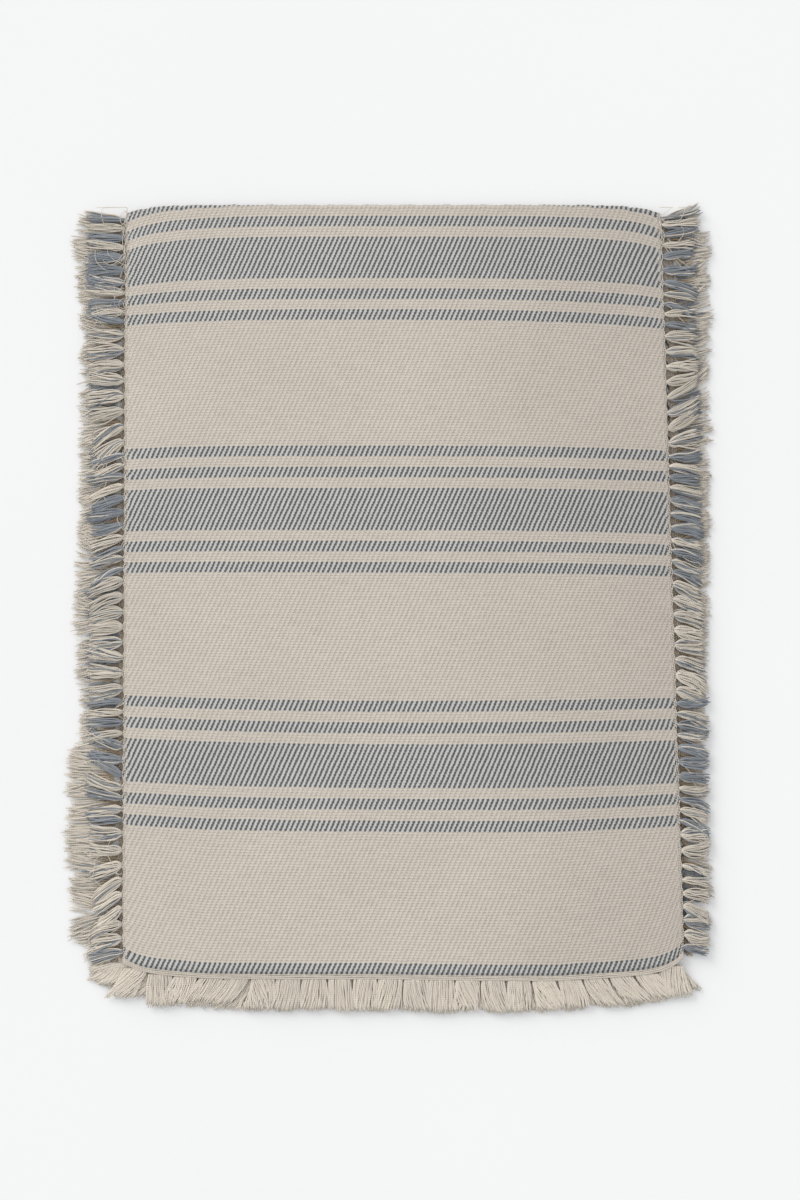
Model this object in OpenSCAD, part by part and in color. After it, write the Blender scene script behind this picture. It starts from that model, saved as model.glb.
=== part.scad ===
/* [Cloth] */
// Width of the woven cloth, selvedge to selvedge
cloth_w = 527; // [440:1:640]
// Thickness of one layer of the cloth
cloth_t = 3.2; // [2.4:0.1:5]
// Air between the two leaves where the cloth lies folded
leaf_gap = 0.6; // [0.4:0.1:2]
// How far the upper leaf's front end strays to the right
upper_lean = 10; // [-20:1:20]
// How far the lower leaf's front end strays to the right
lower_lean = 4; // [-20:1:20]
// Width of the close-set edge warps along each selvedge
selvedge_w = 5; // [3:0.5:8]
// Width of the twined hem that locks the last picks at each end
hem_w = 5; // [3:0.5:8]

/* [Stripes] */
// Width of a narrow blue stripe, and of the cream between two stripes
narrow_w = 10.2; // [8:0.1:12]
// Width of a wide blue stripe
wide_w = 40.8; // [33:0.1:49]
// Width of the plain cream field between two groups of stripes
field_w = 122.4; // [90:0.1:150]
// How deep the blue floats are let into each face of the cloth
float_depth = 0.5; // [0.3:0.1:0.8]

/* [Fringe] */
// Length of the upper leaf's left tufts beside the fold
upper_left_l = 39; // [25:1:60]
// Length of the upper leaf's left tufts at the front corner
upper_left_front_l = 30; // [20:1:60]
// Length of the upper leaf's right tufts beside the fold
upper_right_l = 42; // [25:1:60]
// Length of the upper leaf's right tufts at the front corner, where they curl in
upper_right_front_l = 26; // [20:1:60]
// Length of the lower leaf's left tufts
lower_left_l = 45; // [25:1:60]
// Length of the lower leaf's right tufts beside the fold
lower_right_l = 30; // [20:1:60]
// Length of the lower leaf's right tufts at the front corner, where they are tucked in
lower_right_front_l = 14; // [10:1:60]
// Length of the warp tufts at the two ends
end_fringe = 34; // [25:1:50]
// Length of selvedge that one cream side tuft gathers
side_pitch = 15.3; // [12:0.1:18]
// Width of cloth that one warp tuft gathers
end_pitch = 24; // [16:1:30]
// Thickness of a tuft
tuft_t = 2.2; // [1.2:0.1:2.4]
// Share of its room along the edge that a tuft fills at the root
root_fill = 0.6; // [0.4:0.05:0.8]
// Share of its room along the edge that a tuft fills at the tip
tip_fill = 0.88; // [0.8:0.02:0.92]

/* [Hidden] */

cream = [0.77, 0.74, 0.70];
blue = [0.44, 0.47, 0.52];
shaded_cream = [0.70, 0.64, 0.55];

// Which way a leaf lies, and which of its sides a piece is on
UPPER = 1;
LOWER = -1;
RIGHT = 1;
LEFT = -1;

// The fold is a half round roll, and its middle line keeps the cloth's own length
fold_r = cloth_t + leaf_gap / 2;
fold_arc = PI * (cloth_t + leaf_gap) / 2;

// Cream run on the upper leaf from the roll to its first stripe, and blue run on the lower leaf,
// which is the rest of the stripe that goes over the fold
first_cream = 2 * narrow_w - fold_arc - 0.6 * narrow_w;
first_blue = 0.6 * narrow_w;
group_w = wide_w + 8 * narrow_w;
period = group_w + field_w;
leaf_l = first_cream - 2 * narrow_w + 3 * period + narrow_w + hem_w;

function lean(leaf) = leaf == UPPER ? upper_lean : lower_lean;

// Length of a side's tufts, from 0 beside the fold to 1 at the front corner
function fringe_l(leaf, side, end) =
    let (ends = leaf == UPPER
        ? (side == LEFT ? [upper_left_l, upper_left_front_l] : [upper_right_l, upper_right_front_l])
        : (side == LEFT ? [lower_left_l, lower_left_l] : [lower_right_l, lower_right_front_l]))
    ends[0] + (ends[1] - ends[0]) * end;

// The mat's outermost points, which put the origin under the middle of its box
left_reach = cloth_w / 2 + max([
    for (leaf = [UPPER, LOWER], end = [0, 1]) fringe_l(leaf, LEFT, end) - lean(leaf) * end
]);
right_reach = cloth_w / 2 + max([
    for (leaf = [UPPER, LOWER], end = [0, 1]) fringe_l(leaf, RIGHT, end) + lean(leaf) * end
]);
middle_x = (left_reach - right_reach) / 2;
flat_y = (leaf_l + end_fringe - fold_r) / 2;

upper_z = cloth_t + leaf_gap;

// Stripes as [distance from the roll, width], counted along the leaf to its end
function group_at(start) = [
    [start, narrow_w],
    [start + 2 * narrow_w, narrow_w],
    [start + 4 * narrow_w, wide_w],
    [start + 5 * narrow_w + wide_w, narrow_w],
    [start + 7 * narrow_w + wide_w, narrow_w]
];
upper_start = first_cream - 2 * narrow_w;
upper_stripes = concat(
    [for (i = [1:4]) group_at(upper_start)[i]],
    group_at(upper_start + period),
    group_at(upper_start + 2 * period),
    [[upper_start + 3 * period, narrow_w]]
);
lower_stripes = concat(
    [[0, first_blue]],
    group_at(first_blue + field_w),
    group_at(first_blue + field_w + period),
    [for (i = [0:3]) group_at(first_blue + field_w + 2 * period)[i]]
);
function stripes(leaf) = leaf == UPPER ? upper_stripes : lower_stripes;
function is_wide(stripe) = stripe[1] > 1.5 * narrow_w;

// Cream runs between the stripes, in the same form
function creams(leaf) = let (s = stripes(leaf), last = len(s) - 1) [
    for (i = [-1:last])
        let (from = i < 0 ? 0 : s[i][0] + s[i][1])
        let (to = i == last ? leaf_l - hem_w : s[i + 1][0])
        if (to - from > 1) [from, to - from]
];

// Centre line of a leaf at a distance from the roll
function lean_x(leaf, along) = middle_x + lean(leaf) * along / leaf_l;
function leaf_z(leaf) = leaf == UPPER ? upper_z : 0;
function side_x(leaf, side, along, out) = lean_x(leaf, along) + side * (cloth_w / 2 + out);
function row_y(along) = flat_y - along;

// A strip of a leaf between two distances from the roll and two distances from its middle line
module strip(leaf, from, to, left, right, z, height) {
    translate([0, 0, leaf_z(leaf) + z])
        linear_extrude(height)
            polygon([
                [lean_x(leaf, from) + left, row_y(from)],
                [lean_x(leaf, from) + right, row_y(from)],
                [lean_x(leaf, to) + right, row_y(to)],
                [lean_x(leaf, to) + left, row_y(to)]
            ]);
}

// A strip across the whole ground, between the selvedges
module ground_strip(leaf, from, to, z, height) {
    reach = cloth_w / 2 - selvedge_w;
    strip(leaf, from, to, -reach, reach, z, height);
}

// Blue floats on both faces of the stripes of one kind
module float_bands(leaf, wide) {
    for (s = stripes(leaf))
        if (is_wide(s) == wide)
            for (z = [0, cloth_t - float_depth])
                ground_strip(leaf, s[0], s[0] + s[1], z, float_depth);
}

// The cream ground, with shallow seats for the blue floats
module ground(leaf) {
    color(cream)
        difference() {
            ground_strip(leaf, 0, leaf_l - hem_w, 0, cloth_t);
            float_bands(leaf, true);
            float_bands(leaf, false);
        }
}

module wide_stripes(leaf) {
    color(blue) float_bands(leaf, true);
}

module narrow_stripes(leaf) {
    color(blue) float_bands(leaf, false);
}

module selvedge(leaf, side) {
    outer = side * cloth_w / 2;
    inner = side * (cloth_w / 2 - selvedge_w);
    color(cream)
        strip(leaf, 0, leaf_l - hem_w, min(outer, inner), max(outer, inner), 0, cloth_t);
}

module end_hem(leaf) {
    color(cream)
        strip(leaf, leaf_l - hem_w, leaf_l, -cloth_w / 2, cloth_w / 2, 0, cloth_t);
}

// A tuft of weft ends, pinched where it leaves the selvedge and flared at its tip
module side_tuft(leaf, side, from, room) {
    middle = from + room / 2;
    root = room * root_fill / 2;
    tip = room * tip_fill / 2;
    out = fringe_l(leaf, side, middle / leaf_l);
    translate([0, 0, leaf_z(leaf) + (cloth_t - tuft_t) / 2])
        linear_extrude(tuft_t)
            polygon([
                [side_x(leaf, side, middle - root, 0), row_y(middle - root)],
                [side_x(leaf, side, middle - tip, out * 0.6), row_y(middle - tip)],
                [side_x(leaf, side, middle - tip, out), row_y(middle - tip)],
                [side_x(leaf, side, middle + tip, out), row_y(middle + tip)],
                [side_x(leaf, side, middle + tip, out * 0.6), row_y(middle + tip)],
                [side_x(leaf, side, middle + root, 0), row_y(middle + root)]
            ]);
}

// A row of tufts along one run of picks
module tuft_row(leaf, side, run, count) {
    for (i = [0:count - 1])
        side_tuft(leaf, side, run[0] + i * run[1] / count, run[1] / count);
}

module cream_side_fringe(leaf, side, tint) {
    color(tint)
        for (run = creams(leaf))
            tuft_row(leaf, side, run, max(1, round(run[1] / side_pitch)));
}

// One tuft to a narrow stripe and three to a wide one
module blue_side_fringe(leaf, side) {
    color(blue)
        for (run = stripes(leaf))
            tuft_row(leaf, side, run, is_wide(run) ? 3 : 1);
}

// Warp tufts past the hem
module warp_fringe(leaf, tint) {
    count = round(cloth_w / end_pitch);
    room = cloth_w / count;
    color(tint)
        translate([0, 0, leaf_z(leaf) + (cloth_t - tuft_t) / 2])
            for (i = [0:count - 1])
                translate([lean_x(leaf, leaf_l) - cloth_w / 2 + (i + 0.5) * room, row_y(leaf_l)])
                    linear_extrude(tuft_t)
                        polygon([
                            [-room * root_fill / 2, 0],
                            [-room * tip_fill / 2, -end_fringe * 0.6],
                            [-room * tip_fill / 2, -end_fringe],
                            [room * tip_fill / 2, -end_fringe],
                            [room * tip_fill / 2, -end_fringe * 0.6],
                            [room * root_fill / 2, 0]
                        ]);
}

// The band of cloth that rolls over from the lower leaf to the upper one
module fold_roll() {
    color(blue)
        translate([middle_x - cloth_w / 2, flat_y, cloth_t + leaf_gap / 2])
            rotate([90, 0, 90])
                linear_extrude(cloth_w)
                    intersection() {
                        difference() {
                            circle(r = fold_r, $fn = 64);
                            circle(r = leaf_gap / 2, $fn = 32);
                        }
                        translate([0, -fold_r])
                            square([fold_r, 2 * fold_r]);
                    }
}

ground(LOWER);  // lower_ground
wide_stripes(LOWER);  // lower_wide_stripes
narrow_stripes(LOWER);  // lower_narrow_stripes
selvedge(LOWER, LEFT);  // lower_left_selvedge
selvedge(LOWER, RIGHT);  // lower_right_selvedge
end_hem(LOWER);  // lower_end_hem
cream_side_fringe(LOWER, LEFT, shaded_cream);  // lower_left_cream_fringe
blue_side_fringe(LOWER, LEFT);  // lower_left_blue_fringe
cream_side_fringe(LOWER, RIGHT, shaded_cream);  // lower_right_cream_fringe
blue_side_fringe(LOWER, RIGHT);  // lower_right_blue_fringe
warp_fringe(LOWER, shaded_cream);  // lower_end_fringe
ground(UPPER);  // upper_ground
wide_stripes(UPPER);  // upper_wide_stripes
narrow_stripes(UPPER);  // upper_narrow_stripes
selvedge(UPPER, LEFT);  // upper_left_selvedge
selvedge(UPPER, RIGHT);  // upper_right_selvedge
end_hem(UPPER);  // upper_end_hem
cream_side_fringe(UPPER, LEFT, cream);  // upper_left_cream_fringe
blue_side_fringe(UPPER, LEFT);  // upper_left_blue_fringe
cream_side_fringe(UPPER, RIGHT, cream);  // upper_right_cream_fringe
blue_side_fringe(UPPER, RIGHT);  // upper_right_blue_fringe
warp_fringe(UPPER, cream);  // upper_end_fringe
fold_roll();
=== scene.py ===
import math

import bpy
import numpy as np
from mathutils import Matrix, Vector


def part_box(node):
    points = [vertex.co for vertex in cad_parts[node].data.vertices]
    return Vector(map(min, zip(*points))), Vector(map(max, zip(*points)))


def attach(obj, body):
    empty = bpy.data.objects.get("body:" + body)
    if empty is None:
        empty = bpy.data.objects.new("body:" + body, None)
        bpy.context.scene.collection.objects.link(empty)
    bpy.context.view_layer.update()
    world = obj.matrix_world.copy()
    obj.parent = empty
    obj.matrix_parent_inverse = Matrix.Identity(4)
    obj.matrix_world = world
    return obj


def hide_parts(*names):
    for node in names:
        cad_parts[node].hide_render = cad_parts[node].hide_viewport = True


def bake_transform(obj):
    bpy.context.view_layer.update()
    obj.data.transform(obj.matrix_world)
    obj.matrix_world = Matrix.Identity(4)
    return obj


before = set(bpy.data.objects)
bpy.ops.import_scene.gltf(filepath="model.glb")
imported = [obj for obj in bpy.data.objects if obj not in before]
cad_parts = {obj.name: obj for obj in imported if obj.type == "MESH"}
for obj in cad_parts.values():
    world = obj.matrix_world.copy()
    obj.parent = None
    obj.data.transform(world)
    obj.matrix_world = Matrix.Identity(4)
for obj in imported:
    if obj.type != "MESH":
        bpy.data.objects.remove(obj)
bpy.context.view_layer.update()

# Everything is in metres, in the part's own frame: X across the mat, Y from its front end to the fold, Z up.
MM = 0.001
rng = np.random.default_rng(7)

# The weave: a four-end twill, its stripes counted in picks
PICK = 2.55 * MM
END = 1.175 * MM
RIB_HEIGHT = 0.22 * MM
NARROW_PICKS = 4
WIDE_PICKS = 16
PERIOD_PICKS = 96

# A group of stripes: its middle pick, and how far from it each pair of narrow stripes lies
GROUP_MIDDLE = 4 * NARROW_PICKS + (WIDE_PICKS - 1) / 2
NEAR_NARROW = WIDE_PICKS / 2 + 1.5 * NARROW_PICKS
FAR_NARROW = NEAR_NARROW + 2 * NARROW_PICKS

# The edges: picks gathered in a side tuft, ends gathered in a front tuft, and how selvedge and hem are made
TUFT_PICKS = 6
TUFT_ENDS = 20
SELVEDGE_PAIRS = 3
HEM_YARNS = 3

# Sizes that the frame holds; the selvedges are as wide as the hems
roll_low, roll_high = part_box("fold_roll")
CLOTH_W = roll_high.x - roll_low.x
MIDDLE_X = (roll_high.x + roll_low.x) / 2
FLAT_Y = roll_low.y
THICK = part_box("lower_ground")[1].z
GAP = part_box("upper_ground")[0].z - THICK
LEAF_L = FLAT_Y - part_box("upper_end_hem")[0].y
HEM_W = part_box("upper_end_hem")[1].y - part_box("upper_end_hem")[0].y
SELVEDGE_W = HEM_W
FIRST_STRIPE = FLAT_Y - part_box("upper_narrow_stripes")[1].y
END_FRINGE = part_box("upper_end_fringe")[1].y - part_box("upper_end_fringe")[0].y
FOLD_Z = THICK + GAP / 2
BEND_R = (THICK + GAP) / 2
BEND_ARC = math.pi * BEND_R
GROUND_HALF = CLOTH_W / 2 - 0.9 * MM


def hem_shift(node):
    """How far to the right of the fold's middle a hem lies."""
    low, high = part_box(node)
    return (low.x + high.x) / 2 - MIDDLE_X


UPPER = {"name": "upper", "body": "upper_leaf", "up": 1, "lean": hem_shift("upper_end_hem")}
LOWER = {"name": "lower", "body": "lower_leaf", "up": -1, "lean": hem_shift("lower_end_hem")}


# ---------------------------------------------------------------- shape of the folded cloth

# How far the stripes run forward of a straight line near each edge: share of the leaf, millimetres
BOW_LEFT = [(0, 0.0), (0.14, -0.4), (0.33, -0.5), (0.48, -1.7), (0.66, -5.4), (1, -4.3)]
BOW_RIGHT = [(0, 0.0), (0.03, 0.4), (0.08, 2.4), (0.14, 4.0), (0.33, 1.9), (0.48, 1.9), (0.66, -3.2),
             (1, -4.3)]
# What both are multiplied by
BOW_GAIN = 1.23
# How far the front end sags forward: place across from -1 to 1, millimetres
SAG = [(-1, 1.0), (-0.7, 4.1), (-0.1, 2.2), (0.55, 5.2), (0.85, 2.6), (1, 0.5)]
# How far the edges have gone over the fold ahead of the middle
SLIP_LEFT = 9.0 * MM
SLIP_RIGHT = 5.5 * MM
# How far the corners are drawn in, beside the fold and at the front
FOLD_CORNER = 8.5 * MM
FRONT_CORNER_LEFT = 10 * MM
FRONT_CORNER_RIGHT = 15 * MM
# How far the lower leaf has slid out sideways: just past the fold, and how much that changes to the front
SLID_LEFT = (-4 * MM, 5 * MM)
SLID_RIGHT = (13.5 * MM, -9.8 * MM)
# Width of the laid cloth as a share of its flat width, and how much wider its front end is than its back
WIDTH_SHARE = 0.997
FLARE = 0.022
# How deep the tufts scallop the edge, how rough the fold is, how high ripples stand, how far the edge thins
SCALLOP = 0.7 * MM
FOLD_ROUGH = 0.22 * MM
RIPPLE = 0.25 * MM
EDGE_THIN = 0.5 * MM
# How much painted shade darkens the roll and the lower leaf, which lies under the upper one
FOLD_PAINTED_SHADE = 0.16


def smooth(value):
    """0 below 0, 1 above 1, smooth between."""
    t = np.clip(value, 0, 1)
    return t * t * (3 - 2 * t)


def table(rows, place):
    """Value at a place, on straight lines between the rows."""
    places, values = zip(*rows)
    return np.interp(place, places, values)


def slipped(path, across):
    """Distance round the cloth of a place in its pattern, which has slipped round the fold at the edges."""
    share = np.clip(np.abs(path) / LEAF_L, 0, 1)
    slip = np.where(np.asarray(across) > 0, SLIP_RIGHT, SLIP_LEFT)
    return path + slip * (across / (CLOTH_W / 2)) ** 4 * (1 - share) ** 2


def pick_index(path):
    """Picks counted from the upper leaf's first stripe."""
    return (path - FIRST_STRIPE) / PICK


def is_blue(path):
    """True on the stripes: a wide one amid two pairs of narrow ones in every period."""
    place = np.mod(np.floor(pick_index(path)) + 2 * NARROW_PICKS, PERIOD_PICKS)
    off_middle = np.abs(place - GROUP_MIDDLE)
    near = np.abs(off_middle - NEAR_NARROW) < NARROW_PICKS / 2
    far = np.abs(off_middle - FAR_NARROW) < NARROW_PICKS / 2
    return (off_middle < WIDE_PICKS / 2) | near | far


def along_edge(leaf, side, path):
    """Distance from the roll, down a leaf's edge, of a place in the pattern."""
    place = slipped(path, side * CLOTH_W / 2)
    return np.maximum(place if leaf is UPPER else -BEND_ARC - place, 0)


def tuft_runs(leaf, side):
    """Tufts down a leaf's edge, each of one colour: (from, to, blue), as distances from the roll."""
    toward = leaf["up"]
    slip = SLIP_RIGHT if side > 0 else SLIP_LEFT
    start = -slip if leaf is UPPER else -BEND_ARC - slip
    stop = LEAF_L - HEM_W if leaf is UPPER else -BEND_ARC - LEAF_L + HEM_W
    half_picks = np.arange(0, abs(stop - start) / (PICK / 2))
    blue = is_blue(start + toward * (half_picks + 0.5) * PICK / 2)
    changes = np.flatnonzero(np.diff(blue.astype(int))) + 1
    edges = np.concatenate([[0], changes, [len(half_picks)]])
    tufts = []
    for first, last in zip(edges[:-1], edges[1:]):
        count = max(1, round((last - first) / (2 * TUFT_PICKS)))
        cuts = along_edge(leaf, side, start + toward * np.linspace(first, last, count + 1) * PICK / 2)
        tufts += [(a, b, bool(blue[first])) for a, b in zip(cuts[:-1], cuts[1:])]
    return tufts


TUFTS = {(leaf["name"], side): tuft_runs(leaf, side) for leaf in (UPPER, LOWER) for side in (-1, 1)}


def tuft_number(leaf, side, along):
    """Tufts counted down one edge of a leaf."""
    cuts = [start for start, _, _ in TUFTS[leaf["name"], side]]
    return np.interp(along, cuts, np.arange(len(cuts)))


def spread(leaf, share, across_share):
    """How far a point of the lower leaf has moved sideways: it has slid out past the upper leaf."""
    if leaf is UPPER:
        return 0.0
    opened = smooth(share / 0.05)
    right = SLID_RIGHT[0] * opened + SLID_RIGHT[1] * share
    left = SLID_LEFT[0] * opened + SLID_LEFT[1] * share
    return np.where(across_share > 0, right, left) * np.abs(across_share) ** 3


def bow(share, across_share):
    """How far forward a point lies of its place on a square cloth.

    The stripes are bowed, the corners drawn in, the front end sags and the fold is a little rough.
    """
    edge = np.abs(across_share)
    stripes = np.where(across_share > 0, table(BOW_RIGHT, share), table(BOW_LEFT, share)) * MM
    fold_corner = FOLD_CORNER * edge**12 * (1 - smooth(share / 0.16))
    sag = table(SAG, across_share) * MM * smooth((share - 0.6) / 0.4)
    drawn_in = np.where(across_share > 0, FRONT_CORNER_RIGHT, FRONT_CORNER_LEFT)
    front_corner = drawn_in * edge**20 * smooth((share - 0.84) / 0.16)
    place = across_share * CLOTH_W
    rough = np.sin(place / (6.1 * MM)) + np.sin(place / (3.7 * MM) + 1) + np.sin(place / (11 * MM) + 2)
    rough = FOLD_ROUGH * rough * (1 - smooth(share / 0.012))
    return BOW_GAIN * stripes * edge**2 + fold_corner - front_corner + sag + rough


def plan(leaf, along, across):
    """Place on the floor of a point of a leaf, by its distance from the roll and from the middle line."""
    share = along / LEAF_L
    across_share = across / (CLOTH_W / 2)
    tufts = np.where(across_share > 0, tuft_number(leaf, 1, along), tuft_number(leaf, -1, along))
    scallop = -SCALLOP * np.cos(2 * math.pi * tufts) * across_share**31
    width = WIDTH_SHARE * (1 + FLARE * (share - 0.5))
    x = MIDDLE_X + leaf["lean"] * share + across * width + scallop + spread(leaf, share, across_share)
    y = FLAT_Y - along - bow(share, across_share)
    return x, y


def lift(along, across):
    """Low, broad ripples of the upper leaf, which die out at the fold."""
    a = along / LEAF_L
    b = across / CLOTH_W
    ripple = (
        np.sin(5.1 * a + 3.0 * b + 0.4)
        + 0.8 * np.sin(9.7 * a - 6.3 * b + 1.9)
        + 0.5 * np.sin(17.0 * a + 11.0 * b + 0.7)
        + 2.3
    )
    return RIPPLE * ripple * smooth(along / (60 * MM))


def leaf_point(leaf, along, across, height):
    """A point at a height from the middle of the leaf's thickness, positive toward the outside."""
    x, y = plan(leaf, along, across)
    z = FOLD_Z + leaf["up"] * (BEND_R + height)
    if leaf is UPPER:
        z = z + lift(along, across)
    return np.stack(np.broadcast_arrays(x, y, z), axis=-1)


def roll_point(turn, across, height):
    """The same on the roll, whose turn runs from -90 degrees at the lower leaf to 90 at the upper."""
    x, y = plan(UPPER, np.zeros_like(across), across)
    radius = BEND_R + height
    return np.stack(
        np.broadcast_arrays(x, y + radius * np.cos(turn), FOLD_Z + radius * np.sin(turn)), axis=-1
    )


def path_point(path, across, height):
    """A point of the whole cloth. path is 0 where the roll meets the upper leaf, and grows forward."""
    path, across, height = np.broadcast_arrays(path, across, height)
    path = slipped(path, across)
    point = np.empty(path.shape + (3,))
    above = path >= 0
    below = path <= -BEND_ARC
    between = ~(above | below)
    point[above] = leaf_point(UPPER, path[above], across[above], height[above])
    point[below] = leaf_point(LOWER, -BEND_ARC - path[below], across[below], height[below])
    turn = (path[between] / BEND_ARC + 0.5) * math.pi
    point[between] = roll_point(turn, across[between], height[between])
    return point


# ---------------------------------------------------------------- meshes

def mesh_object(name, verts, faces, material, attributes=()):
    """An object of the scene, with each attribute as a number or a vector on every vertex."""
    mesh = bpy.data.meshes.new(name)
    mesh.from_pydata(np.asarray(verts).tolist(), [], faces)
    for label, values in attributes:
        kind = "FLOAT_VECTOR" if values.ndim == 2 else "FLOAT"
        layer = mesh.attributes.new(label, kind, "POINT")
        layer.data.foreach_set("vector" if values.ndim == 2 else "value", values.astype(np.float32).ravel())
    mesh.polygons.foreach_set("use_smooth", [True] * len(mesh.polygons))
    mesh.materials.append(material)
    mesh.update()
    made = bpy.data.objects.new(name, mesh)
    bpy.context.scene.collection.objects.link(made)
    return made


def tubes(lines, radius, sides=5, flatten=1.0):
    """Closed tubes round many centre lines at once. lines is (tubes, points, 3), radius (tubes, points)."""
    count, points, _ = lines.shape
    tangent = np.gradient(lines, axis=1)
    tangent /= np.linalg.norm(tangent, axis=2, keepdims=True) + 1e-12
    side = np.cross(tangent, [0.0, 0.0, 1.0])
    side /= np.linalg.norm(side, axis=2, keepdims=True) + 1e-12
    up = np.cross(side, tangent)
    angle = np.linspace(0, 2 * math.pi, sides, endpoint=False)
    ring = (
        np.cos(angle)[None, None, :, None] * side[:, :, None, :]
        + flatten * np.sin(angle)[None, None, :, None] * up[:, :, None, :]
    )
    verts = lines[:, :, None, :] + ring * radius[:, :, None, None]
    index = np.arange(count * points * sides).reshape(count, points, sides)
    turned = np.roll(index, -1, axis=2)
    walls = np.stack([index[:, :-1], turned[:, :-1], turned[:, 1:], index[:, 1:]], axis=-1).reshape(-1, 4)
    caps = np.concatenate([index[:, 0, ::-1], index[:, -1]])
    faces = walls.tolist() + caps.tolist()
    step = np.linalg.norm(np.diff(lines, axis=1), axis=2)
    run = np.concatenate([np.zeros((count, 1)), np.cumsum(step, axis=1)], axis=1)
    run = np.broadcast_to(run[:, :, None], index.shape)
    round_share = np.broadcast_to(angle / (2 * math.pi), index.shape)
    return verts.reshape(-1, 3), faces, run.ravel(), round_share.ravel()


def yarn_object(name, lines, radius, material, tint, shade, sides=5, flatten=1.0):
    """Tubes with what the yarn material reads: length along, place around, share of blue, brightness."""
    verts, faces, run, around = tubes(lines, radius, sides, flatten)
    each = lines.shape[1] * sides
    facts = np.stack([run, around, np.repeat(tint, each)], axis=1)
    return mesh_object(
        name, verts, faces, material, [("yarn", facts), ("shade", np.repeat(shade, each))]
    )


# ---------------------------------------------------------------- materials

class Nodes:
    """Short calls for a material's node tree."""

    def __init__(self, name):
        self.material = bpy.data.materials.new(name)
        self.material.use_nodes = True
        self.tree = self.material.node_tree
        self.shader = self.tree.nodes["Principled BSDF"]

    def put(self, socket, value):
        if isinstance(value, bpy.types.NodeSocket):
            self.tree.links.new(value, socket)
        else:
            socket.default_value = value

    def math(self, operation, *values):
        node = self.tree.nodes.new("ShaderNodeMath")
        node.operation = operation
        for socket, value in zip(node.inputs, values):
            self.put(socket, value)
        return node.outputs[0]

    def ramp(self, value, low, high):
        """0 at low, 1 at high, smooth between."""
        node = self.tree.nodes.new("ShaderNodeMapRange")
        node.interpolation_type = "SMOOTHSTEP"
        self.put(node.inputs["Value"], value)
        node.inputs["From Min"].default_value = low
        node.inputs["From Max"].default_value = high
        return node.outputs["Result"]

    def mix(self, share, first, second):
        node = self.tree.nodes.new("ShaderNodeMix")
        node.data_type = "RGBA"
        self.put(node.inputs["Factor"], share)
        self.put(node.inputs[6], first)
        self.put(node.inputs[7], second)
        return node.outputs[2]

    def scale(self, colour, share):
        """A colour made brighter or darker by a number."""
        node = self.tree.nodes.new("ShaderNodeVectorMath")
        node.operation = "SCALE"
        self.put(node.inputs[0], colour)
        self.put(node.inputs["Scale"], share)
        return node.outputs[0]

    def attribute(self, name):
        node = self.tree.nodes.new("ShaderNodeAttribute")
        node.attribute_name = name
        return node

    def split(self, vector):
        node = self.tree.nodes.new("ShaderNodeSeparateXYZ")
        self.put(node.inputs[0], vector)
        return node.outputs

    def join(self, x, y, z):
        node = self.tree.nodes.new("ShaderNodeCombineXYZ")
        for socket, value in zip(node.inputs, (x, y, z)):
            self.put(socket, value)
        return node.outputs[0]

    def noise(self, vector, scale, detail=2.0):
        node = self.tree.nodes.new("ShaderNodeTexNoise")
        self.put(node.inputs["Vector"], vector)
        node.inputs["Scale"].default_value = scale
        node.inputs["Detail"].default_value = detail
        return node.outputs["Fac"]

    def bump(self, height, distance, strength=1.0):
        node = self.tree.nodes.new("ShaderNodeBump")
        node.inputs["Distance"].default_value = distance
        node.inputs["Strength"].default_value = strength
        self.put(node.inputs["Height"], height)
        self.put(self.shader.inputs["Normal"], node.outputs[0])

    def cotton(self, colour, sheen=0.15):
        self.put(self.shader.inputs["Base Color"], colour)
        self.shader.inputs["Roughness"].default_value = 0.92
        self.shader.inputs["Specular IOR Level"].default_value = 0.18
        self.shader.inputs["Sheen Weight"].default_value = sheen
        self.shader.inputs["Sheen Roughness"].default_value = 0.5
        return self.material


CREAM_WARP = (0.612, 0.552, 0.482, 1)
CREAM_WEFT = (0.576, 0.516, 0.450, 1)
PALE_WARP = (0.543, 0.537, 0.523, 1)
BLUE_WEFT = (0.122, 0.122, 0.121, 1)
CREAM_YARN = (0.690, 0.628, 0.540, 1)
# Golden brown of painted warm shade, for yarn and cloth that lie in shade under the tufts and between the
# leaves
WARM_SHADE = (0.440, 0.320, 0.195, 1)
BLUE_YARN = (0.272, 0.294, 0.322, 1)


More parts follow.
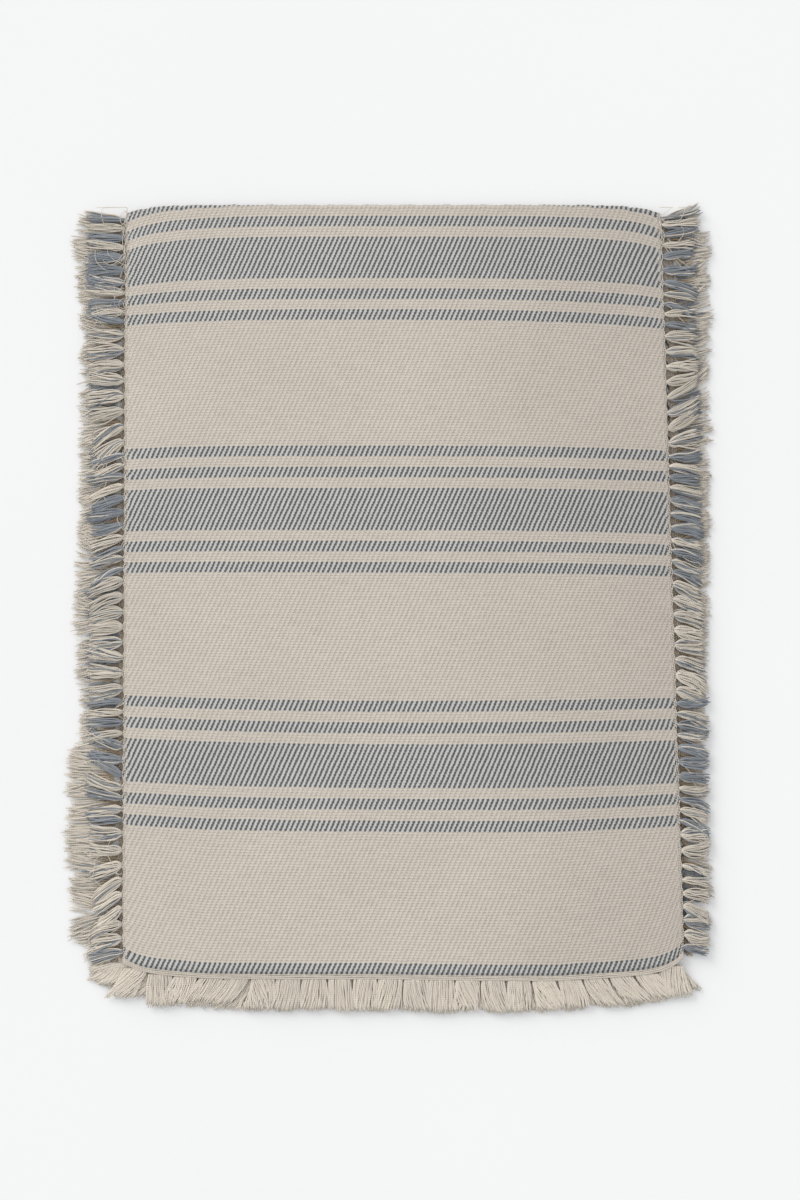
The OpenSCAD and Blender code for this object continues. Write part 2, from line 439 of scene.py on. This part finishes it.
def cloth_material():
    """Twill of warp and weft floats. Its attribute holds across, path and which face of the cloth it is."""
    n = Nodes("cotton_twill")
    across, path, inner = n.split(n.attribute("weave").outputs["Vector"])
    place = n.join(across, path, 0.0)
    edge = n.math("ABSOLUTE", across)
    near_edge = n.ramp(edge, CLOTH_W / 2 - 14 * MM, CLOTH_W / 2 - 2 * MM)
    sway = n.math("SUBTRACT", n.noise(place, 90.0), 0.5)
    jitter = n.math("SUBTRACT", n.noise(place, 420.0, 1.0), 0.5)
    ends = n.math("DIVIDE", across, END)
    sway_ends = n.math("ADD", 0.9, n.math("MULTIPLY", near_edge, 2.5))
    ends = n.math("ADD", ends, n.math("MULTIPLY", sway, sway_ends))
    ends = n.math("ADD", ends, n.math("MULTIPLY", jitter, 0.85))
    picks = n.math("DIVIDE", n.math("SUBTRACT", path, FIRST_STRIPE), PICK)
    drift = n.math("SUBTRACT", n.noise(place, 60.0), 0.5)
    picks = n.math("ADD", picks, n.math("MULTIPLY", drift, 0.5))
    pick = n.math("FLOOR", picks)
    in_pick = n.math("SUBTRACT", n.math("SUBTRACT", picks, pick), 0.5)

    # A weft float lies over two ends, and the next pick's sits one end to the side; they meet in a bar
    stepped = n.math("ADD", pick, n.math("MULTIPLY", in_pick, 0.45))
    turn = n.math("ADD", n.math("ADD", ends, stepped), n.math("MULTIPLY", inner, 2.0))
    turn = n.math("SUBTRACT", n.math("FRACT", n.math("DIVIDE", turn, 4.0)), 0.5)
    sideways = n.math("POWER", n.math("DIVIDE", turn, 0.25), 2.0)
    upright = n.math("POWER", n.math("MULTIPLY", in_pick, 2.0), 2.0)
    weft = n.ramp(n.math("ADD", sideways, n.math("MULTIPLY", upright, 0.8)), 1.6, 0.78)

    # Stripes: the picks that are blue, counted from the middle of a wide stripe
    spot = n.math("FLOORED_MODULO", n.math("ADD", pick, 2.0 * NARROW_PICKS), float(PERIOD_PICKS))
    off_middle = n.math("ABSOLUTE", n.math("SUBTRACT", spot, GROUP_MIDDLE))
    blue = n.math("LESS_THAN", off_middle, WIDE_PICKS / 2)
    for narrow in (NEAR_NARROW, FAR_NARROW):
        off_narrow = n.math("ABSOLUTE", n.math("SUBTRACT", off_middle, narrow))
        blue = n.math("ADD", blue, n.math("LESS_THAN", off_narrow, NARROW_PICKS / 2))

    # On the inner face the edge warps cover the blue, and painted warm shade turns the cloth golden brown
    # near the edges, where it lies in shade between the two leaves
    hidden = n.math("MULTIPLY", inner, n.math("GREATER_THAN", edge, CLOTH_W / 2 - SELVEDGE_W - 1 * MM))
    blue = n.math("MULTIPLY", blue, n.math("SUBTRACT", 1.0, hidden))

    # Slubs run along each yarn, and the cloth is a little uneven in the large
    warp_slub = n.noise(n.join(n.math("MULTIPLY", across, 9.0), n.math("MULTIPLY", path, 0.6), 3.0), 90.0)
    weft_slub = n.noise(n.join(n.math("MULTIPLY", across, 0.5), n.math("MULTIPLY", path, 5.0), 8.0), 90.0)
    patches = n.noise(place, 9.0)
    warp_colour = n.mix(blue, CREAM_WARP, PALE_WARP)
    weft_colour = n.mix(blue, CREAM_WEFT, BLUE_WEFT)
    warp_colour = n.scale(warp_colour, n.math("ADD", 0.82, n.math("MULTIPLY", warp_slub, 0.36)))
    weft_colour = n.scale(weft_colour, n.math("ADD", 0.74, n.math("MULTIPLY", weft_slub, 0.52)))
    colour = n.mix(weft, warp_colour, weft_colour)
    colour = n.mix(n.math("MULTIPLY", hidden, 0.6), colour, WARM_SHADE)

    # Painted shade that sits between floats, and painted shade that darkens the cloth toward the right edge,
    # where less light falls
    uneven = n.math("ADD", 0.1, n.math("MULTIPLY", n.noise(place, 160.0), 1.8))
    dash = n.math("MULTIPLY", n.math("MULTIPLY", upright, upright), n.ramp(sideways, 1.6, 0.5))
    depth = n.math("SUBTRACT", 0.40, n.math("MULTIPLY", blue, 0.34))
    crease = n.math("MULTIPLY", n.math("MULTIPLY", dash, depth), uneven)
    colour = n.scale(colour, n.math("SUBTRACT", 1.0, crease))
    right_painted_shade = n.math("MULTIPLY", n.ramp(across, 0.0, CLOTH_W / 2), -0.13)
    large = n.math("ADD", n.math("ADD", 0.97, right_painted_shade), n.math("MULTIPLY", patches, 0.12))
    colour = n.scale(colour, n.math("MULTIPLY", large, n.attribute("shade").outputs["Fac"]))

    weft_round = n.math("SQRT", n.math("MAXIMUM", n.math("SUBTRACT", 1.0, sideways), 0.0))
    height = n.math("ADD", n.math("MULTIPLY", weft_round, weft), n.math("MULTIPLY", upright, -0.8))
    n.bump(height, 0.25 * MM)
    return n.cotton(colour)


def yarn_material(name, cream, blue, twist, under_shade=0.0):
    """Plied yarn: its plies wind round it, and each strand has its own tint and brightness.

    The last argument is how much painted warm shade turns the yarn golden brown near its root, where it lies
    under other tufts, and in patches along it.
    """
    n = Nodes(name)
    run, around, tint = n.split(n.attribute("yarn").outputs["Vector"])
    shade = n.attribute("shade").outputs["Fac"]
    wind = n.math("ADD", n.math("DIVIDE", run, twist), around)
    ply = n.math("SINE", n.math("MULTIPLY", wind, 4 * math.pi))
    fuzz = n.noise(n.join(run, n.math("MULTIPLY", shade, 3.0), around), 700.0)
    # Painted warm shade: golden brown near the root and in patches along the yarn
    golden = n.math("MULTIPLY", n.ramp(run, 24 * MM, 5 * MM), under_shade)
    golden = n.math("ADD", golden, n.math("MULTIPLY", n.ramp(fuzz, 0.5, 0.9), 0.4 * under_shade))
    colour = n.mix(tint, n.mix(golden, cream, WARM_SHADE), blue)
    bright = n.math("ADD", shade, n.math("MULTIPLY", ply, 0.05))
    bright = n.math("ADD", bright, n.math("MULTIPLY", fuzz, 0.16))
    colour = n.scale(colour, bright)
    n.bump(n.math("ADD", ply, fuzz), 0.12 * MM)
    return n.cotton(colour, 0.25)


def floor_material():
    n = Nodes("pale_floor")
    place = n.tree.nodes.new("ShaderNodeTexCoord").outputs["Object"]
    cloudy = n.ramp(n.noise(place, 2.0), -9.0, 1.0)
    n.put(n.shader.inputs["Base Color"], n.scale((0.91, 0.91, 0.91), cloudy))
    n.shader.inputs["Roughness"].default_value = 0.8
    n.shader.inputs["Specular IOR Level"].default_value = 0.1
    return n.material


# ---------------------------------------------------------------- the cloth

BEND_ROWS = 42
BEND_MARGIN = 0.6 * MM
ROW_GAP = 0.5 * MM


def cloth_rows():
    """Places in the pattern for rows: the middle of every second pick, and closer where the roll can be."""
    first = math.ceil((-BEND_ARC - LEAF_L + HEM_W - FIRST_STRIPE) / (2 * PICK) - 0.25)
    last = math.floor((LEAF_L - HEM_W - FIRST_STRIPE) / (2 * PICK) - 0.25)
    rows = FIRST_STRIPE + (2 * np.arange(first, last + 1) + 0.5) * PICK
    roll_from = -BEND_ARC - SLIP_LEFT - BEND_MARGIN
    roll_to = BEND_MARGIN
    flat = rows[(rows > roll_to + ROW_GAP) | (rows < roll_from - ROW_GAP)]
    bend = np.linspace(roll_from, roll_to, BEND_ROWS)
    ends = [-BEND_ARC - LEAF_L + HEM_W, LEAF_L - HEM_W]
    return np.sort(np.concatenate([flat, bend, ends]))


def cloth_columns():
    """Places across the cloth: every second end, and the two edges."""
    reach = math.floor((GROUND_HALF - 1.5 * MM) / (2 * END) - 0.25)
    columns = (2 * np.arange(-reach, reach + 1) + 0.5) * END
    return np.concatenate([[-GROUND_HALF], columns, [GROUND_HALF]])


def rib(path, across, inner):
    """Height of the twill's diagonal ribs."""
    turn = (across / END + pick_index(path) + 2 * inner) / 4
    fade = smooth((GROUND_HALF - np.abs(across)) / (4 * MM))
    return -RIB_HEIGHT * np.sin(2 * math.pi * turn) * fade


def grid_faces(index, diagonal):
    """Triangles of a grid of vertex numbers, cut along the ribs so that they stay unbroken."""
    a, b = index[:-1, :-1], index[:-1, 1:]
    c, d = index[1:, :-1], index[1:, 1:]
    if diagonal:
        halves = [np.stack([a, b, c], -1), np.stack([b, d, c], -1)]
    else:
        halves = [np.stack([a, d, c], -1), np.stack([a, b, d], -1)]
    return np.concatenate([h.reshape(-1, 3) for h in halves]).tolist()


def make_cloth(material):
    """The whole cloth as one closed sheet: an outer face, an inner face and the four borders."""
    rows = cloth_rows()
    columns = cloth_columns()
    path, across = np.meshgrid(rows, columns, indexing="ij")
    half = THICK / 2 - RIB_HEIGHT - EDGE_THIN * np.abs(across / GROUND_HALF) ** 60
    outer = path_point(path, across, half + rib(path, across, 0))
    inner = path_point(path, across, -half - rib(path, across, 1))
    count = path.size
    outer_index = np.arange(count).reshape(path.shape)
    inner_index = outer_index + count
    faces = grid_faces(outer_index, True) + grid_faces(inner_index[:, ::-1], False)
    border = [
        np.stack([inner_index[0], outer_index[0]]),
        np.stack([outer_index[-1], inner_index[-1]]),
        np.stack([outer_index[:, 0], inner_index[:, 0]]),
        np.stack([inner_index[:, -1], outer_index[:, -1]]),
    ]
    for strip in border:
        faces += grid_faces(strip, True)
    weave = [
        np.stack([across.ravel(), path.ravel(), np.full(count, side)], axis=1) for side in (0.0, 1.0)
    ]
    # Painted shade: the roll and the lower leaf are made darker
    painted_fold_shade = 1 - FOLD_PAINTED_SHADE * smooth((1.5 * MM - slipped(path, across).ravel()) / (3 * MM))
    verts = np.concatenate([outer.reshape(-1, 3), inner.reshape(-1, 3)])
    cloth = mesh_object(
        "folded_cloth", verts, faces, material,
        [("weave", np.concatenate(weave)), ("shade", np.concatenate([painted_fold_shade, painted_fold_shade]))],
    )
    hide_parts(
        "fold_roll",
        "lower_ground", "lower_wide_stripes", "lower_narrow_stripes",
        "upper_ground", "upper_wide_stripes", "upper_narrow_stripes",
    )
    return cloth


def bend_with_fold(piece):
    """Bakes the piece's placement into its mesh."""
    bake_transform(piece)


# ---------------------------------------------------------------- selvedges and hems

def make_selvedge(side, name, material):
    """Pairs of edge warps that twist round one another, a turn every two picks, and go on round the fold."""
    step = PICK / 4
    path = np.arange(-BEND_ARC - LEAF_L, LEAF_L + step, step)
    turn = math.pi * pick_index(path)
    spacing = SELVEDGE_W / SELVEDGE_PAIRS
    lines = []
    for pair in range(SELVEDGE_PAIRS):
        wander = 0.25 * MM * np.sin(path / (17 * MM) + 2.0 * pair)
        wander = wander + 0.15 * MM * np.sin(path / (7 * MM) + pair)
        for ply in range(2):
            phase = turn + math.pi * ply + 1.3 * pair
            across = side * (CLOTH_W / 2 - (pair + 0.4) * spacing + wander + 0.32 * MM * np.sin(phase))
            lines.append(path_point(path, across, 1.1 * MM * np.cos(phase)))
    lines = np.stack(lines)
    radius = np.full(lines.shape[:2], 0.46 * MM)
    shade = 0.98 + 0.1 * rng.random(len(lines))
    piece = yarn_object(name, lines, radius, material, np.zeros(len(lines)), shade, sides=6)
    which = "left" if side < 0 else "right"
    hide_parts(f"lower_{which}_selvedge", f"upper_{which}_selvedge")
    bend_with_fold(piece)
    return piece


def make_hem(leaf, material):
    """Thick yarns laid close beside the last pick."""
    across = np.arange(-CLOTH_W / 2, CLOTH_W / 2, 1.0 * MM)
    lines = []
    for row in range(HEM_YARNS):
        sway = 0.12 * MM * np.sin(across / (9 * MM) + 2.2 * row)
        along = LEAF_L - HEM_W * (row + 0.5) / HEM_YARNS + sway
        lines.append(leaf_point(leaf, along, across, 0.1 * MM * np.sin(across / (2.1 * MM) + row)))
    lines = np.stack(lines)
    swell = 1 + 0.05 * np.sin(across / (1.9 * MM))
    radius = np.broadcast_to(0.92 * MM * swell, lines.shape[:2])
    piece = yarn_object(
        f"{leaf['name']}_hem_yarns", lines, radius, material,
        np.zeros(HEM_YARNS), 0.94 + 0.08 * rng.random(HEM_YARNS), sides=8, flatten=1.5,
    )
    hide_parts(f"{leaf['name']}_end_hem")
    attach(piece, leaf["body"])
    return piece


# ---------------------------------------------------------------- fringe

# How each side's tufts were combed: share of the leaf from the fold, degrees toward the front
COMB = {
    "upper_left": [(0, -2), (0.07, -7), (0.13, -2), (0.26, 4), (0.30, 24), (0.36, 18), (0.46, 24),
                   (0.49, 10), (0.58, 4), (0.68, 2), (0.73, -12), (0.755, -22), (0.78, -2),
                   (0.86, 6), (0.885, 32), (0.93, 38), (0.945, 6), (1, 4)],
    "upper_right": [(0, -3), (0.05, -16), (0.07, 2), (0.09, 14), (0.13, 0), (0.2, -4), (0.3, -26),
                    (0.34, 4), (0.39, 20), (0.42, 10), (0.48, 28), (0.6, 14), (0.75, 8), (1, 19)],
    "lower_left": [(0, 4), (0.3, 10), (0.5, 4), (0.8, 2), (0.88, -8), (0.94, 4), (0.97, 30), (1, 62)],
    "lower_right": [(0, -8), (0.3, -12), (0.6, 10), (0.85, 22), (0.9, 30), (1, 30)],
}

# How the front tufts were combed: place across from -1 to 1, degrees toward the right
END_COMB = {
    "upper": [(-1, -40), (-0.955, -30), (-0.864, -6), (-0.77, -34), (-0.6, -38), (-0.48, -8), (-0.2, 2),
              (0.2, -4), (0.5, 14), (0.75, 34), (0.9, 34), (1, 4)],
    "lower": [(-1, -66), (-0.955, -58), (-0.864, -40), (-0.7, -14), (0.5, 8), (0.9, 30), (1, 45)],
}

# The lower leaf's left corner shows: degrees toward the right of the tufts that fan round it
CORNER_FAN = (-20, -42, -60, -76)

# Length of each side's tufts: share of the leaf from the fold, millimetres
REACH = {
    "upper_left": [(0, 37), (0.2, 37), (0.5, 34), (0.75, 35), (0.9, 32), (1, 34)],
    "upper_right": [(0, 38), (0.06, 31), (0.3, 32), (0.66, 30), (0.9, 28), (1, 25)],
    "lower_left": [(0, 43), (0.04, 49), (0.12, 41), (0.45, 40), (0.52, 45), (0.6, 41), (0.7, 37),
                   (0.73, 49), (0.86, 48), (0.92, 46), (0.95, 47), (0.97, 34), (1, 27)],
    "lower_right": [(0, 37), (0.1, 34), (0.25, 34), (0.38, 31), (0.5, 31), (0.7, 24),
                    (0.84, 22), (0.86, 31), (0.9, 31), (0.92, 14), (1, 12)],
}

# How much yarn is left in each side's upper tufts: share of the leaf from the fold, share of a full tuft
THIN = {
    "left": [(0, 1.0), (1, 1.0)],
    "right": [(0, 0.82), (0.26, 0.82), (0.28, 1.0), (0.84, 1.0), (0.86, 0.45), (0.9, 0.45), (0.92, 1.0)],
}

# Radius of a strand in the side and the front tufts
SIDE_STRAND = 0.66 * MM
END_STRAND = 0.66 * MM
# Strands for each pick at the sides of the two leaves, and strands in a front tuft
UPPER_STRANDS = 4.4
LOWER_STRANDS = 4.0
END_STRANDS = 64
# Brightness of each side's yarn; the right side's is lower, as painted shade for the weaker light on that
# side
SIDE_SHADE = {"left": 0.905, "right": 0.85}

# Share of an upper side tuft's strands that are of the other colour
UPPER_ODD = 0.15
# How long the lower leaf's blue strands are beside its cream ones
BLUE_REACH = 0.78

# Loose threads at each side of the upper leaf
LOOSE_THREADS = ((-1, 26), (1, 12))

STRAND_POINTS = 13
STRAND_PATH = np.linspace(0, 1, STRAND_POINTS)


def bundle(count):
    """Places of a tuft's strands in its cross-section of radius 1: most on the outside, a few within."""
    ring = round(0.72 * count)
    around = 2 * math.pi * (np.arange(ring) + rng.uniform(-0.3, 0.3, ring)) / ring
    inner = rng.random(count - ring) * 2 * math.pi
    angle = np.concatenate([around, inner])
    reach = np.concatenate([rng.uniform(0.86, 1.06, ring), rng.uniform(0.1, 0.65, count - ring)])
    return reach * np.cos(angle), reach * np.sin(angle)


def tuft(root, out, sideways, widths, depths, heights, length, angle, count, wave=0.75):
    """Centre lines of one tuft's strands.

    widths and depths are the tuft's half-sizes and heights that of its middle line, each at the root,
    past the pinched neck and at the tip. angle, in degrees, is how it was combed toward sideways, and
    wave, in millimetres, how far its strands wander.
    """
    t = STRAND_PATH[None, :]
    wide = np.interp(t, (0, 0.2, 1), widths)
    deep = np.interp(t, (0, 0.3, 1), depths)
    high = np.interp(t, (0, 0.3, 1), heights)
    u, v = (value[:, None] for value in bundle(count))
    twist = rng.normal(0, 0.8) * t + rng.normal(0, 0.3)
    across = wide * (u * np.cos(twist) - v * np.sin(twist))
    above = deep * (u * np.sin(twist) + v * np.cos(twist))
    lengths = length * (1 - 0.09 * u**2) * rng.normal(1, 0.045, (count, 1)).clip(0.85, 1.07)
    stray = (rng.random((count, 1)) < 0.05) * rng.uniform(-0.3, 0.3, (count, 1))
    heading = math.radians(angle) + stray + rng.normal(0, 0.05, (count, 1))
    curl = rng.normal(0, 2.6 * MM) * t**3
    phase = rng.random((count, 1)) * 2 * math.pi
    speed = rng.uniform(4, 9, (count, 1))
    loose = np.minimum(3 * t, 1) * MM
    across = across + curl + wave * rng.uniform(0.2, 1.0, (count, 1)) * np.sin(phase + speed * t) * loose
    above = above + wave / 3 * np.sin(phase * 2 + speed * t) * loose
    away = lengths * t * np.cos(heading)
    turned = lengths * t**1.3 * np.sin(heading)
    up = np.array([0.0, 0.0, 1.0])
    lines = root + away[:, :, None] * out + (across + turned)[:, :, None] * sideways
    return lines + (high + above)[:, :, None] * up


def odd_ends(which, share, blue):
    """Share of a lower tuft's ends that are not its own colour: the tufts have strayed into one another."""
    if which == "left" and share > 0.72:
        return 0.97 if blue else 0.01
    if which == "right" and share < 0.3:
        return 0.5 if blue else 0.35
    if which == "right" and share > 0.84:
        return 0.15 if blue else 0.3
    return 0.5 if blue else 0.06


def side_fringe(leaf, which, material):
    """The weft ends down one side of a leaf, as a cream piece and a blue piece."""
    side = -1 if which == "left" else 1
    key = f"{leaf['name']}_{which}"
    lines = {True: [], False: []}
    tints = {True: [], False: []}
    shades = {True: [], False: []}
    for start, stop, blue in TUFTS[leaf["name"], side]:
        middle = (start + stop) / 2
        room = stop - start
        share = middle / LEAF_L
        edge_x, edge_y = plan(leaf, middle, side * (CLOTH_W / 2 - 0.6 * MM))
        root = np.array([float(edge_x), float(edge_y), 0.0])
        length = table(REACH[key], share) * MM * rng.normal(1, 0.03)
        angle = table(COMB[key], share) + rng.normal(0, 6)
        fullness = rng.uniform(0.88, 1.08)
        thin = table(THIN[which], share)
        if leaf is UPPER:
            cloth_z = FOLD_Z + BEND_R + float(lift(middle, side * CLOTH_W / 2))
            heights = (cloth_z, cloth_z + 0.2 * MM, 4.4 * MM)
            depths = np.array([1.0, 1.4, 1.0]) * MM
            widths = np.array([0.10, 0.33, 0.38] if blue else [0.10, 0.37, 0.44]) * room * fullness * thin
            count = max(8, round(room / PICK * UPPER_STRANDS * thin))
            odd = rng.random(count) < UPPER_ODD
        else:
            heights = (FOLD_Z - BEND_R, 1.6 * MM, 2.0 * MM)
            depths = np.array([1.0, 0.9, 0.8]) * MM
            widths = np.array([0.20, 0.46, 0.52] if blue else [0.20, 0.58, 0.74]) * room * fullness
            count = max(8, round(room / PICK * LOWER_STRANDS))
            odd = rng.random(count) < odd_ends(which, share, blue)
            length = length * np.where(odd[:, None] == blue, 1.0, BLUE_REACH)
        lines[blue].append(tuft(
            root, np.array([side, 0.0, 0.0]), np.array([0.0, -1.0, 0.0]),
            widths, depths, heights, length, angle, count,
        ))
        tints[blue].append(np.where(odd, 1.0 - blue, float(blue)))
        shades[blue].append(rng.normal(SIDE_SHADE[which], 0.035) + rng.normal(0, 0.05, count))
    pieces = []
    for blue, word in ((False, "cream"), (True, "blue")):
        pieces.append(fringe_piece(
            f"{leaf['name']}_{which}_{word}_tufts", leaf, np.concatenate(lines[blue]),
            np.concatenate(tints[blue]), np.concatenate(shades[blue]), SIDE_STRAND, material,
        ))
        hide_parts(f"{leaf['name']}_{which}_{word}_fringe")
    return pieces


def fringe_piece(name, leaf, lines, tint, shade, strand, material):
    """Strands as tubes that are thin at the root and the tip, never under the floor, on one leaf."""
    count = len(lines)
    taper = np.ones(STRAND_POINTS)
    taper[0] = 0.8
    taper[-2:] = (0.85, 0.4)
    radius = strand * rng.uniform(0.85, 1.15, count)[:, None] * taper[None, :]
    lines[:, :, 2] = np.maximum(lines[:, :, 2], radius + 0.1 * MM)
    piece = yarn_object(name, lines, radius, material, tint, shade.clip(0.75, 1.2), sides=5)
    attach(piece, leaf["body"])
    return piece


def end_fringe(leaf, material):
    """The warp ends past a leaf's hem, in broad tufts that fan out at the corners."""
    count = round(CLOTH_W / (TUFT_ENDS * END))
    room = CLOTH_W / count
    lines = []
    shades = []
    middles = -CLOTH_W / 2 + (np.arange(count) + 0.5) * room
    places = [(across, table(END_COMB[leaf["name"]], 2 * across / CLOTH_W), 1.0) for across in middles]
    if leaf is LOWER:
        places += [(-CLOTH_W / 2 + 3 * MM, angle, 0.75) for angle in CORNER_FAN]
    for across, angle, share in places:
        x, y = plan(leaf, LEAF_L - 0.8 * MM, across)
        angle = angle + rng.normal(0, 4)
        length = END_FRINGE * share * rng.normal(0.885, 0.015)
        if leaf is UPPER:
            heights = (FOLD_Z + BEND_R, 5.0 * MM, 4.0 * MM)
            depths = np.array([0.9, 0.7, 0.6]) * MM
        else:
            heights = (FOLD_Z - BEND_R, 1.9 * MM, 2.2 * MM)
            depths = np.array([1.0, 0.9, 1.0]) * MM
        lines.append(tuft(
            np.array([float(x), float(y), 0.0]), np.array([0.0, -1.0, 0.0]), np.array([1.0, 0.0, 0.0]),
            np.array([0.43, 0.46, 0.50]) * room, depths, heights, length, angle, END_STRANDS, wave=0.4,
        ))
        shades.append(rng.normal(1.0, 0.025) + rng.normal(0, 0.03, END_STRANDS))
    lines = np.concatenate(lines)
    piece = fringe_piece(
        f"{leaf['name']}_end_tufts", leaf, lines, np.zeros(len(lines)), np.concatenate(shades),
        END_STRAND, material,
    )
    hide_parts(f"{leaf['name']}_end_fringe")
    return piece


def loose_threads(leaf, material):
    """Thin ends that have come out of the edges and wander over the tufts, most of them by the fold."""
    points = 26
    lines = []
    for side, how_many in LOOSE_THREADS:
        for _ in range(how_many):
            share = rng.random() ** 2.6
            x, y = plan(leaf, share * LEAF_L * 0.97, side * (CLOTH_W / 2 - 1.5 * MM))
            length = rng.uniform(22, 70) * MM
            heading = rng.normal(-0.5, 0.8) + np.cumsum(rng.normal(0, 0.10) + rng.normal(0, 0.16, points))
            step = length / points
            dx = np.cumsum(np.cos(heading)) * step
            dy = np.cumsum(np.sin(heading)) * step
            dx = np.abs(dx) * np.minimum(1, 30 * MM / (np.abs(dx).max() + 1e-9))
            dy = np.minimum(dy, FLAT_Y - float(y))
            over = np.minimum(np.arange(points) / 3, 1)
            z = FOLD_Z + BEND_R + (2.0 + 0.4 * np.sin(heading * 2)) * MM * over - 0.04 * dx
            lines.append(np.stack([float(x) + side * dx, float(y) + dy, z], axis=1))
    lines = np.stack(lines)
    radius = np.full(lines.shape[:2], 0.28 * MM)
    count = len(lines)
    piece = yarn_object("loose_threads", lines, radius, material, np.zeros(count), np.full(count, 1.08))
    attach(piece, leaf["body"])
    return piece


# ---------------------------------------------------------------- room, light and camera

# The camera: how much floor it sees from front to back, from how far, tilted how many degrees from
# straight down, and the point that it aims at
VIEW_HEIGHT = 1.1466
VIEW_DISTANCE = 1.8
VIEW_TILT = 3.82
AIM = (0.0082, 0.0027, 0.007)
FLOOR_SIZE = 12


def make_stage():
    """A pale floor."""
    bpy.ops.mesh.primitive_plane_add(size=FLOOR_SIZE)
    floor = bpy.context.object
    floor.name = "floor"
    floor.data.materials.append(floor_material())


def make_light():
    """A bright, even room and one broad, low lamp from the left and behind."""
    world = bpy.data.worlds.new("studio")
    bpy.context.scene.world = world
    world.use_nodes = True
    world.node_tree.nodes["Background"].inputs["Color"].default_value = (0.98, 0.99, 1.0, 1)
    world.node_tree.nodes["Background"].inputs["Strength"].default_value = 0.80
    key = bpy.data.lights.new("key", "SUN")
    key.energy = 2.13
    key.angle = math.radians(38)
    key.color = (1.0, 0.985, 0.96)
    lamp = bpy.data.objects.new("key", key)
    lamp.rotation_euler = (math.radians(-70), 0, math.radians(45))
    bpy.context.scene.collection.objects.link(lamp)
    bpy.context.scene.view_settings.view_transform = "Standard"


def make_camera():
    """A camera above the mat that looks down and a little toward the fold."""
    data = bpy.data.cameras.new("camera")
    data.lens = data.sensor_width * VIEW_DISTANCE / VIEW_HEIGHT
    camera = bpy.data.objects.new("camera", data)
    tilt = math.radians(VIEW_TILT)
    camera.location = (
        AIM[0], AIM[1] - VIEW_DISTANCE * math.sin(tilt), AIM[2] + VIEW_DISTANCE * math.cos(tilt)
    )
    camera.rotation_euler = (tilt, 0, 0)
    bpy.context.scene.collection.objects.link(camera)
    bpy.context.scene.camera = camera


make_stage()
make_light()
make_camera()

twill = cloth_material()
edge_yarn = yarn_material("edge_yarn", CREAM_WARP, BLUE_WEFT, 5 * MM)
fringe_yarn = yarn_material("fringe_yarn", CREAM_YARN, BLUE_YARN, 4 * MM)
under_yarn = yarn_material("under_yarn", CREAM_YARN, BLUE_YARN, 4 * MM, under_shade=0.8)

cloth = make_cloth(twill)
trim = [make_selvedge(-1, "left_selvedge", edge_yarn), make_selvedge(1, "right_selvedge", edge_yarn)]
for leaf in (LOWER, UPPER):
    yarn = fringe_yarn if leaf is UPPER else under_yarn
    trim.append(make_hem(leaf, edge_yarn))
    trim += side_fringe(leaf, "left", yarn)
    trim += side_fringe(leaf, "right", yarn)
    trim.append(end_fringe(leaf, fringe_yarn))
trim.append(loose_threads(UPPER, fringe_yarn))
bend_with_fold(cloth)
